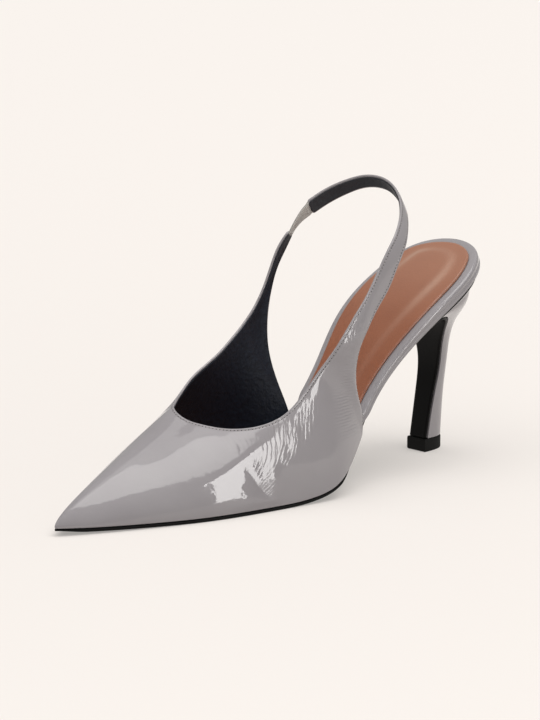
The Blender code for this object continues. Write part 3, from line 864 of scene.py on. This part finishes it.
def upper_sheet(t, near, middle, margin):
    """Outer face of the upper by distance along each rib.

    near lists distances kept from both edges, drawn together where a row is too short for them,
    middle is the number of columns between them, and margin is how far each row stops short of the
    edge. Returns points, outward normals and the distance of every point from both edges.
    """
    controls = rib_controls(t)
    dense = np.linspace(0.0, 1.0, RIB_SAMPLES)
    drawn = bezier(controls, np.broadcast_to(dense, (len(t), RIB_SAMPLES)))
    steps = np.linalg.norm(np.diff(drawn, axis=1), axis=2)
    gone = np.concatenate([np.zeros((len(t), 1)), np.cumsum(steps, axis=1)], axis=1)
    long = gone[:, -1:]
    room = NEAR_SHARE * long - margin[:, None]
    near = near * np.clip(room / near[-1], NEAR_LEAST, 1.0) + margin[:, None]
    share = np.linspace(0.0, 1.0, middle + 2)[None, 1:-1]
    between = near[:, -1:] + (long - 2 * near[:, -1:]) * share
    s = np.concatenate([near, between, long - near[:, ::-1]], axis=1)
    v = np.stack([np.interp(row, rule, dense) for row, rule in zip(s, gone)])
    points = bezier(controls, v)
    normals = unit(np.cross(np.gradient(points, t, axis=0), np.gradient(points, axis=1)))
    return points, normals, s, long - s


def fold(points, normals, radius, depth, relief, inner):
    """Closed rings round a sheet of leather: outer face, rounded edge, inner face, rounded edge.

    The outer face lies depth under the given surface and carries the relief; an edge is a half
    circle of the radius; inner picks the columns of the inner face.
    """
    mid = points - (depth + radius) * normals
    outer = mid + (radius + relief)[..., None] * normals
    angle = np.linspace(0.0, np.pi, FOLD_POINTS)[1:-1]
    arcs = []
    for column, step in ((-1, 1), (0, -1)):
        beyond = unit(points[:, column] - points[:, column - step])[:, None]
        way = normals[:, column][:, None]
        turned = np.cos(angle)[None, :, None] * way * step + np.sin(angle)[None, :, None] * beyond
        arcs.append(mid[:, column][:, None] + radius * turned)
    under = mid[:, inner] - radius * normals[:, inner]
    rings = np.concatenate([outer, arcs[0], under, arcs[1]], axis=1)
    heart = np.concatenate([mid, np.repeat(mid[:, -1:], len(angle), axis=1), mid[:, inner],
                            np.repeat(mid[:, :1], len(angle), axis=1)], axis=1)
    ends = []
    for row, step in ((0, -1), (-1, 1)):
        way = unit(mid[row] - mid[row - step]).mean(axis=0)
        for psi in np.radians(FOLD_ENDS):
            ends.append(heart[row] + (rings[row] - heart[row]) * np.cos(psi) + radius * np.sin(psi) * way)
    first = ends[:len(FOLD_ENDS)][::-1]
    return np.concatenate([first, rings, ends[len(FOLD_ENDS):]])


def spots(points, table):
    """Sum of soft round patches: each row gives a middle, half sizes and a strength."""
    total = np.zeros(points.shape[:-1])
    for row in table:
        away = (points - np.array(row[0:3])) / np.array(row[3:6])
        total += row[6] * np.exp(-(away**2).sum(axis=-1))
    return np.clip(total, 0.0, SPOT_LIMIT)


def drawn_lines(points):
    """Place across and along the fine lines, in millimetres.

    The lines stand upright and lean a little to the toe; below the bend they run back under the ball.
    """
    x = points[..., 0]
    z = points[..., 2]
    swept = CRINKLE_SWEEP * np.maximum(CRINKLE_BEND - z, 0)**2
    across = x + CRINKLE_LEAN * (z - CRINKLE_BEND) - swept
    return np.stack([across, z + CRINKLE_SLANT * x, np.zeros_like(x)], -1)


def creased(points, normals):
    """Height of the soft troughs and ridges: across each one a bell, along it a longer bell.

    Near a crease its line bows a little; further off the plain distance keeps other walls clear of it.
    """
    total = np.zeros(points.shape[:-1])
    for row in CREASES:
        half_long, half_wide, depth = row[6:9]
        away = points - np.array(row[0:3])
        way = unit(np.array(row[3:6]))
        along = away @ way
        across = np.linalg.norm(away - along[..., None] * way, axis=-1)
        bowed = (np.cross(normals, way) * away).sum(axis=-1) - CREASE_BOW * along**2
        off = np.where(across < CREASE_NEAR * half_wide, bowed, across)
        total -= depth * np.exp(-(along / half_long)**2 - (off / half_wide)**2)
    return total


def corner_margin(t, radius, base):
    """Distance a row stops short of the edge so that the two ends have round corners."""
    away = np.clip(np.minimum(t, RUN[-1] - t), 0.0, radius)
    return base + radius - np.sqrt(radius**2 - (radius - away)**2)


def free_rear(t):
    """1 on the wings and the sling, whose rear edge is free, 0 along the sole."""
    from_a, from_b = (blend(t - RUN[cut], -CUT_FADE, CUT_FADE) for cut in (CUT_A, CUT_B))
    return 1 - from_a + from_b


def build_upper(skin):
    """The patent shell: creased outer face, folded edges with a stitch groove, thin inner face."""
    t = upper_rows(*PATENT_STEPS)
    margin = corner_margin(t, STRAP_CORNER, PATENT / 2)
    points, normals, rear, front = upper_sheet(t, PATENT_NEAR, PATENT_MIDDLE, margin)
    groove = np.exp(-((front - STITCH_IN) / GROOVE)**2)
    groove += free_rear(t)[:, None] * np.exp(-((rear - STITCH_IN) / GROOVE)**2)
    clear = blend(np.minimum(rear, front), *CREASE_CLEAR)
    relief = creased(points, normals) * clear - STITCH_SINK * groove
    inner = np.linspace(points.shape[1] - 1, 0, PATENT_INNER).astype(int)
    rings = fold(points, normals, PATENT / 2, 0.0, relief, inner)
    add_rings("upper_patent", rings, skin, "upper", "grey_patent",
              crinkle=spots(rings, CRINKLED), ripple=spots(rings, RIPPLED), drawn=drawn_lines(rings))


def build_lining(skin):
    """Black lining inside the upper, stopping just short of the folded edges."""
    t = upper_rows(*LINING_STEPS)
    margin = corner_margin(t, STRAP_CORNER, LINING_INSET + LINING / 2)
    points, normals, *_ = upper_sheet(t, LINING_NEAR, LINING_MIDDLE, margin)
    inner = np.arange(points.shape[1])[::-1]
    flat = np.zeros(points.shape[:-1])
    add_rings("upper_lining", fold(points, normals, LINING / 2, LINING_DEPTH, flat, inner), skin)


def stitch_lines():
    """Lines of stitching on the outer face: points, ways along and outward normals of every stitch."""
    t = np.linspace(STITCH_START, RUN[-1] - STITCH_START, STITCH_SAMPLES)
    near = np.array([STITCH_IN, STITCH_IN + 1])
    points, normals, *_ = upper_sheet(t, near, 3, np.zeros_like(t))
    lines = [(points[:, -1], normals[:, -1])]
    for keep in (t < RUN[CUT_A] - 1, t > RUN[CUT_B] + 1):
        lines.append((points[keep, 0], normals[keep, 0]))
    found = []
    for line, out in lines:
        gone = run_along(line)
        at = np.arange(STITCH_PITCH, gone[-1] - STITCH_PITCH, STITCH_PITCH)
        here, ahead, normal = (
            np.stack([np.interp(where, gone, axis) for axis in rows.T], -1)
            for rows, where in ((line, at), (line, at + STITCH_AHEAD), (out, at)))
        found.append((here, unit(ahead - here), unit(normal)))
    return [np.concatenate(part) for part in zip(*found)]


def build_stitches(skin):
    """Every stitch a small bent sausage: rings of points along it, its ends dipping into the leather."""
    here, along, out = stitch_lines()
    side = np.cross(out, along)
    run = np.linspace(-1.0, 1.0, STITCH_RINGS)
    thick = STITCH_THICK / 2 * np.sqrt(np.clip(1.02 - run**4, 0.05, 1.0))
    rise = STITCH_PROUD - STITCH_SINK - STITCH_DIP * run**2
    angle = np.linspace(0.0, 2 * np.pi, STITCH_ROUND, endpoint=False)
    local_along = np.repeat(run[:, None] * STITCH_LONG / 2, STITCH_ROUND, axis=1)
    local_side = thick[:, None] * np.cos(angle)
    local_out = rise[:, None] + thick[:, None] * np.sin(angle)
    shape = np.stack([local_along, local_side, local_out], -1).reshape(-1, 3)
    points = here[:, None] + shape @ np.stack([along, side, out], axis=1)
    one = ring_faces(STITCH_RINGS, STITCH_ROUND)
    faces = []
    for first in range(0, len(here) * len(shape), len(shape)):
        faces += [[first + corner for corner in face] for face in one]
    add_piece("upper_stitches", points, faces, skin)


def build_holes(skin):
    """Needle holes: between two stitches a dark lens of painted shade, a ring of points and one at each
    pole.
    """
    here, along, out = stitch_lines()
    here = here + along * STITCH_PITCH / 2 + out * (HOLE_RISE - STITCH_SINK)
    angle = np.linspace(0.0, 2 * np.pi, HOLE_ROUND, endpoint=False)[None, :, None]
    turned = np.cos(angle) * along[:, None] + np.sin(angle) * np.cross(out, along)[:, None]
    poles = np.stack([here + HOLE_DEEP * out, here - HOLE_DEEP * out], axis=1)
    points = np.concatenate([here[:, None] + HOLE * turned, poles], axis=1)
    ring = np.arange(HOLE_ROUND)
    ahead = np.roll(ring, -1)
    over = np.stack([ring, ahead, np.full_like(ring, HOLE_ROUND)], -1)
    under = np.stack([ahead, ring, np.full_like(ring, HOLE_ROUND + 1)], -1)
    first = np.arange(len(here))[:, None, None] * points.shape[1]
    faces = (first + np.concatenate([over, under])).reshape(-1, 3)
    add_piece("needle_holes", points, faces.tolist(), skin)


def build_elastic(skin):
    """Ribbed elastic from inside the end of the sling to inside the tip of the medial wing.

    A cubic carries both edges from one strap to the other; the section is a flat rounded loop whose
    thickness waves across for the ribs and along for the threads.
    """
    before, start, end, after = (
        np.array(row[:6]).reshape(2, 3) for row in (*SLING[-2:], *MEDIAL_WING[:2]))
    lead_a = unit((start - before).mean(axis=0))
    lead_b = unit((after - end).mean(axis=0))
    start = start - ELASTIC_TUCK * lead_a + np.outer((1, -1), ELASTIC_IN * unit(start[1] - start[0]))
    end = end + ELASTIC_TUCK_TIP * lead_b + np.outer((1, -1), ELASTIC_IN * unit(end[1] - end[0]))
    reach = ELASTIC_REACH * np.linalg.norm(end.mean(axis=0) - start.mean(axis=0))
    controls = np.stack([start, start + reach * lead_a, end - reach * lead_b, end], axis=1)
    t = np.linspace(0.0, 1.0, ELASTIC_ROWS)
    rear, front = bezier(controls, np.stack([t, t]))
    along = np.gradient((rear + front) / 2, axis=0)
    inward = unit(np.cross(front - rear, along))
    angle = np.linspace(0.0, 2 * np.pi, ELASTIC_ROUND, endpoint=False)
    across = 0.5 - 0.5 * np.sign(np.cos(angle)) * np.abs(np.cos(angle))**ELASTIC_SIDES
    bulk = np.sign(np.sin(angle)) * np.abs(np.sin(angle))**ELASTIC_FLAT
    rib = 0.5 - 0.5 * np.cos(2 * np.pi * ELASTIC_RIBS * across)
    row = np.arange(ELASTIC_ROWS)
    thread = ELASTIC_THREAD * np.sin(2 * np.pi * row / ELASTIC_THREAD_ROWS)
    half = ELASTIC_HALF + ELASTIC_RIB * (rib[None] - 0.5) + thread[:, None]
    under = ELASTIC_UNDER - ELASTIC_UNDER_START * (1 - blend(row, *ELASTIC_START_ROWS))
    under = under + ELASTIC_UNDER_TIP * blend(row, *ELASTIC_TIP_ROWS)
    centre = rear[:, None] + (front - rear)[:, None] * across[None, :, None]
    points = centre + (under[:, None] - half * bulk[None])[..., None] * inward[:, None]
    # Painted shade in the grooves between the ribs, kept at the points for the material.
    groove = np.repeat((1 - rib)[None]**2, ELASTIC_ROWS, axis=0)
    add_rings("elastic_knit", points, skin, "elastic", "grey_elastic", groove=groove)


# The bottom: rings across the shoe, carried from one end to the other

def across_rings(a, share, inset, height):
    """Rings across the shoe: share 0 is the medial edge and 1 the lateral one, each moved in and raised."""
    shape = (len(a), len(share))
    inset = np.broadcast_to(inset, shape)
    angle = np.broadcast_to(a[:, None], shape)
    medial = inset_edge(-angle, inset)
    lateral = inset_edge(angle, inset)
    plan = medial + (lateral - medial) * np.broadcast_to(share, shape)[..., None]
    return lift(plan, np.broadcast_to(height, shape))


def side_to_side(side, columns):
    """Ring of a layer: up one side, over the top, down the other side and back underneath."""
    side = np.array(side)
    over = np.linspace(0.0, 1.0, columns + 2)[1:-1]
    share = np.concatenate([np.ones(len(side)), 1 - over, np.zeros(len(side)), over])
    rows = [side, np.repeat(side[-1:], columns, axis=0), side[::-1], np.repeat(side[:1], columns, axis=0)]
    return share, np.concatenate(rows)


def board_height(x):
    """Thickness of the insole: the shown rim at the back, a thin board under the vamp."""
    shown = RIM_SEAT + (RIM - RIM_SEAT) * blend(x, *RIM_TAPER)
    return shown + (FORE_BOARD - RIM) * blend(x, *BOARD_TAPER)


def build_insole(skin):
    """Wrapped board: a double rim round the heel and waist, drawn in under the vamp."""
    a = np.linspace(BOARD_START, turn(BOARD_FRONT), LAYER_RINGS)
    x = edge(a)[:, 0]
    share, side = side_to_side(RIM_SIDE, RIM_COLUMNS)
    start = (CUT_MEDIAL + CUT_LATERAL) / 2 - DRAW_LEAD
    inset = BOARD_INSET * blend(x, start, start + DRAW_IN)[:, None] + side[None, :, 0]
    points = across_rings(a, share, inset, GAP + board_height(x)[:, None] * side[None, :, 1])
    # Painted shade in the rim's groove and underside, taken from the third column of its side.
    seam = np.broadcast_to(side[:, 2], points.shape[:2])
    crisp(add_rings("insole_rim", points, skin, "insole", "grey_patent_rim", seam=seam), LAYER_CRISP)


def build_sock(skin):
    """Sock of tan leather, rolled at its edge and raised by a thin pad under the heel.

    The painted sheen is a bell of painted highlight over the edge of the pad, stronger in the crescents,
    and a painted haze that fades forwards.
    """
    a = np.linspace(SOCK_START, turn(SOCK_FRONT), LAYER_RINGS)
    share, side = side_to_side(SOCK_SIDE, SOCK_COLUMNS)
    x = edge(a)[:, 0]
    edge_in = SOCK_INSET + SOCK_BACK * (1 - blend(x, *SOCK_BACK_TAPER))
    inset = edge_in[:, None] + side[None, :, 0]
    base = 2 * GAP + board_height(x)[:, None]
    flat = across_rings(a, share, inset, base)
    rim = np.concatenate([inset_edge(-a, edge_in), inset_edge(a, edge_in)])
    away = np.sqrt(((flat[..., None, :2] - rim[None, None, ::3])**2).sum(axis=-1)).min(axis=-1)
    at_seat = 1 - blend(flat[..., 0], *PAD_TAPER)
    pad = PAD * blend(away, *PAD_EDGE) * at_seat
    points = across_rings(a, share, inset, base + side[None, :, 1] * (SOCK + pad))
    points[..., 1] += SOCK_SET_OVER * (1 - blend(points[..., 0], *SOCK_OVER_TAPER))
    # Painted highlight over the pad's edge and painted sheen haze at the seat, kept at the points for the
    # material.
    line = np.full(away.shape, PAINTED_LINE)
    for sign, middle, reach, strength in HIGHLIGHT_CRESCENTS:
        beside = blend(sign * flat[..., 1], *PAINTED_LINE_SIDE)
        line += strength * beside * np.exp(-((flat[..., 0] - middle) / reach)**2)
    painted_line = line * np.exp(-((away - PAD_INSET) / PAINTED_LINE_WIDE)**2) * at_seat
    bloom = painted_line + PAINTED_HAZE * (1 - blend(flat[..., 0], *PAINTED_HAZE_TAPER))
    crisp(add_rings("sock_leather", points, skin, "sock_lining", "tan_sock", bloom=bloom), LAYER_CRISP)


def breast_path():
    """Top of the sole from the side, over the arch and down the breast: length, point, way, half width."""
    rows = np.array(BREAST)
    rows[0, 1] = seat(rows[0, 0])
    run = run_along(rows[:, :2])
    slope = seat_slope(rows[0, 0])
    size = np.sqrt(1 + slope**2)
    fx = spline(run, rows[:, 0], -1 / size)
    fz = spline(run, rows[:, 1], -slope / size)

    def point(s):
        return np.stack([fx(s), fz(s)], -1)

    def square(s):
        """Unit direction towards the heel."""
        d = unit(point(s + 0.01) - point(s - 0.01))
        return np.stack([d[..., 1], -d[..., 0]], -1)
    return run[-1], point, square, spline(run, rows[:, 2])


def build_outsole(skin):
    """Sole with rounded edges: rings from the toe over the waist and arch, then down the breast."""
    share, side = side_to_side([(i, -d) for i, d in SOLE_SIDE[::-1]], SOLE_COLUMNS)
    a = np.linspace(SOLE_TIP, turn(BREAST[0][0]), SOLE_RINGS)
    x = edge(a)[:, 0]
    thick = WAIST_SOLE + (TREAD - WAIST_SOLE) * blend(x, *SOLE_TAPER)
    thick = thick * (1 - TOE_THIN * blend(x, *TOE_TAPER))
    drawn_in = np.maximum(WAIST_INSET * (1 - blend(x, *WAIST_TAPER)), SOLE_INSET)
    pinch = np.clip(np.linalg.norm(edge(a) - edge(-a), axis=1) / TOE_PINCH, 0.0, 1.0)
    inset = drawn_in[:, None] + side[None, :, 0] * pinch[:, None]
    fore = across_rings(a, share, inset, thick[:, None] * side[None, :, 1])
    total, point, square, width = breast_path()
    s = np.linspace(0.0, total, FLAP_RINGS)[1:]
    fade = (1 - blend(s, 0.0, FLAP_JOIN))[:, None]
    over = point(s)
    under = square(s)
    half = width(s)[:, None] - FLAP_INSET * blend(s, 0.0, FLAP_DRAWN)[:, None] - side[None, :, 0]
    last = edge(np.array([a[-1], -a[-1]]))[:, 1]
    lateral = half + (last[0] - WAIST_INSET - width(0.0)) * fade
    medial = -half + (last[1] + WAIST_INSET + width(0.0)) * fade
    y = medial + (lateral - medial) * share[None]
    deep = WAIST_SOLE * side[None, :, 1]
    flap = np.stack([over[:, :1] + deep * under[:, :1], y, over[:, 1:] + deep * under[:, 1:]], -1)
    add_rings("outsole_black", np.concatenate([fore, flap]), skin, "outsole", "black_sole")


def d_shape():
    """Half of a heel's section: share of the way back and share of the half width, flat in front."""
    angle = np.radians(np.linspace(HEEL_FIRST, 90.0, HEEL_COLUMNS))
    return np.cos(angle)**HEEL_ROUND, np.sin(angle)**HEEL_ROUND


def build_heel(skin):
    """Heel lofted from the top piece up to the seat: flat breast, rounded back."""
    total, point, square, width = breast_path()
    t = np.linspace(1.0, 0.0, HEEL_LEVELS)
    s = total * (HEEL_LEAD + (1 - HEEL_LEAD) * t)
    front = point(s) + GAP * square(s)
    back = path(HEEL_BACK)(t)
    front[0, 1] = TOP_PIECE + GAP
    back[0, 1] = TOP_PIECE + GAP
    along, round_w = d_shape()
    top_x = front[-1, 0] + (HEEL_TOP_BACK - front[-1, 0]) * along
    bow = seat(top_x) - seat(top_x[-1]) - (seat(top_x[0]) - seat(top_x[-1])) * along / along[0]
    x = front[:, :1] + (back[:, :1] - front[:, :1]) * along
    z = front[:, 1:] + (back[:, 1:] - front[:, 1:]) * along + bow * ((1 - t)**3)[:, None]
    x = np.concatenate([x, top_x[None]])
    z = np.concatenate([z, seat(top_x)[None] - GAP])
    a = turn(front[-1, 0] + (RIM_BACK - front[-1, 0]) * along)
    half = np.append(width(s), 0.0)[:, None]
    share = blend(half, *HEEL_FLARE)
    up = np.append(1 - t, 1.0)[:, None]
    flush = HEEL_FLUSH * np.clip((up - HEEL_FLUSH_FROM) / (1 - HEEL_FLUSH_FROM), 0.0, 1.0)
    x = x - flush * along
    sides = []
    for sign in (-1, 1):
        under_rim = sign * edge(sign * a)[:, 1] - HEEL_INSET
        shaped = half * (round_w + (under_rim / under_rim[-1] - round_w) * share)
        shaped[-1] = under_rim
        shaped = shaped + flush * round_w * np.sqrt(along)
        sides.append(np.stack([x, sign * shaped, z], -1))
    points = np.concatenate([sides[0], sides[1][:, ::-1]], axis=1)
    plain = np.zeros(points.shape[:2])
    crisp(add_rings("heel_cover", points, skin, "heel", "grey_patent_heel", seam=plain), HEEL_CRISP)


def build_top_piece(skin):
    """Lift under the heel: the heel's own section, softened at both edges."""
    along, round_w = d_shape()
    front, _, half = BREAST[-1]
    depth = front - HEEL_BACK[-1][0]
    loops = []
    for lip, z in TOP_PIECE_SIDE:
        x = front + SOLE_FLAP + lip - (depth + SOLE_FLAP + 2 * lip) * along
        y = (half + lip) * round_w
        level = np.full_like(x, z)
        loops.append(np.concatenate([np.stack([x, -y, level], -1), np.stack([x, y, level], -1)[::-1]]))
    made = add_rings("top_piece_rubber", np.array(loops), skin, "top_piece", "black_top_piece")
    crisp(made, TOP_PIECE_CRISP)


# Floor, lights and camera

# Turn and rise of the view, its distance, the point it circles and the point it looks at
CAMERA_TURN = np.radians(46.73)
CAMERA_RISE = np.radians(11.86)
CAMERA_AWAY = 1559.9
CAMERA_AIM = np.array([115.0, -41.56, 60.27])
SHOE_AIM = np.array([124.0, 2.0, 57.0])
LENS = 141.4
CLOSER = 1.24

# Far limit of the view and half width of the floor in metres, light from all round
FAR = 100.0
FLOOR_REACH = 14.0
SURROUND = "#fffcf8"
SURROUND_STRENGTH = 0.38

# Panels of light: place and the point they face in metres, width, height, watts, colour,
# roll in degrees, and the kind of ray that does not see them
PANELS = {
    "overhead panel": (
        (-0.543, 0.638, 2.2), (-0.543, 0.639, 0.0), 1.2, 1.96, 20.9, "#fffdfa", 11.0, None),
    "panel margin": (
        (-0.36, -0.5, 2.2), (-0.36, -0.499, 0.0), 1.2, 0.32, 1.2, "#fffdfa", 11.0, "diffuse"),
    "side strip": (
        (-0.328, 1.653, 0.68), (0.0, 0.0, 0.68), 0.29, 1.36, 10.5, "#fffdfb", 8.0, "diffuse"),
    "front fill": (
        (0.7, 0.25, 3.3), (0.0, 0.0, 0.05), 6.0, 6.0, 144.0, "#fffdfb", 0.0, "glossy"),
}


def in_scene(point):
    """A point of the shoe's frame in metres in the scene's frame."""
    return Vector(((np.asarray(point, float) - MIDDLE) / 1000).tolist())


def look(obj, where, at):
    """Put an object at a point so that it faces another."""
    obj.location = where
    obj.rotation_mode = "QUATERNION"
    obj.rotation_quaternion = (at - where).to_track_quat("-Z", "Y")


def add_camera():
    """The photographed viewpoint, turned to the middle of the one shoe and a little closer in."""
    flat = np.cos(CAMERA_RISE)
    back = np.array([np.cos(CAMERA_TURN) * flat, np.sin(CAMERA_TURN) * flat, np.sin(CAMERA_RISE)])
    data = bpy.data.cameras.new("camera")
    data.lens = LENS * CLOSER
    data.clip_end = FAR
    camera = put("camera", data)
    look(camera, in_scene(CAMERA_AIM + CAMERA_AWAY * back), in_scene(SHOE_AIM))
    bpy.context.scene.camera = camera


def add_panel(name, where, at, wide, high, power, tint, roll, unseen):
    """A soft light facing a point, rolled about its own axis."""
    data = bpy.data.lights.new(name, "AREA")
    data.shape = "RECTANGLE"
    data.size = wide
    data.size_y = high
    data.energy = power
    data.color = colour(tint)[:3]
    light = put(name, data)
    look(light, Vector(where), Vector(at))
    light.rotation_quaternion = light.rotation_quaternion @ Quaternion((0.0, 0.0, 1.0), np.radians(roll))
    light.visible_diffuse = unseen != "diffuse"
    light.visible_glossy = unseen != "glossy"


def add_studio():
    """Wide pale floor, even pale surroundings and the panels of light."""
    mesh = bpy.data.meshes.new("floor")
    corners = [(x * FLOOR_REACH, y * FLOOR_REACH, 0) for x, y in ((-1, -1), (1, -1), (1, 1), (-1, 1))]
    mesh.from_pydata(corners, [], [(0, 1, 2, 3)])
    mesh.materials.append(studio_floor())
    floor = put("floor", mesh)
    world = bpy.data.worlds.new("studio")
    world.use_nodes = True
    set_inputs(world.node_tree, world.node_tree.nodes["Background"], {
        "Color": colour(SURROUND), "Strength": SURROUND_STRENGTH})
    bpy.context.scene.world = world
    for name, row in PANELS.items():
        add_panel(name, *row)
    bpy.context.scene.view_settings.view_transform = "Standard"


crinkled_patent = patent_leather("grey crinkled patent leather", True)
smooth_patent = patent_leather("grey wrapped patent leather", False)
build_upper(crinkled_patent)
build_lining(lining_leather())
build_stitches(waxed_thread())
# The needle holes are dark lenses of painted shade.
build_holes(black_moulding("painted needle hole shade", "#2b2829", "#373435", 0.9, 0.5))
build_elastic(knit_elastic())
build_insole(smooth_patent)
build_sock(sock_leather())
build_outsole(black_moulding("black buffed sole", "#040404", "#080808", 0.5, 1.5))
build_heel(smooth_patent)
build_top_piece(black_moulding("black moulded rubber", "#0e0e0e", "#181817", 0.62, 0.8))
add_studio()
add_camera()
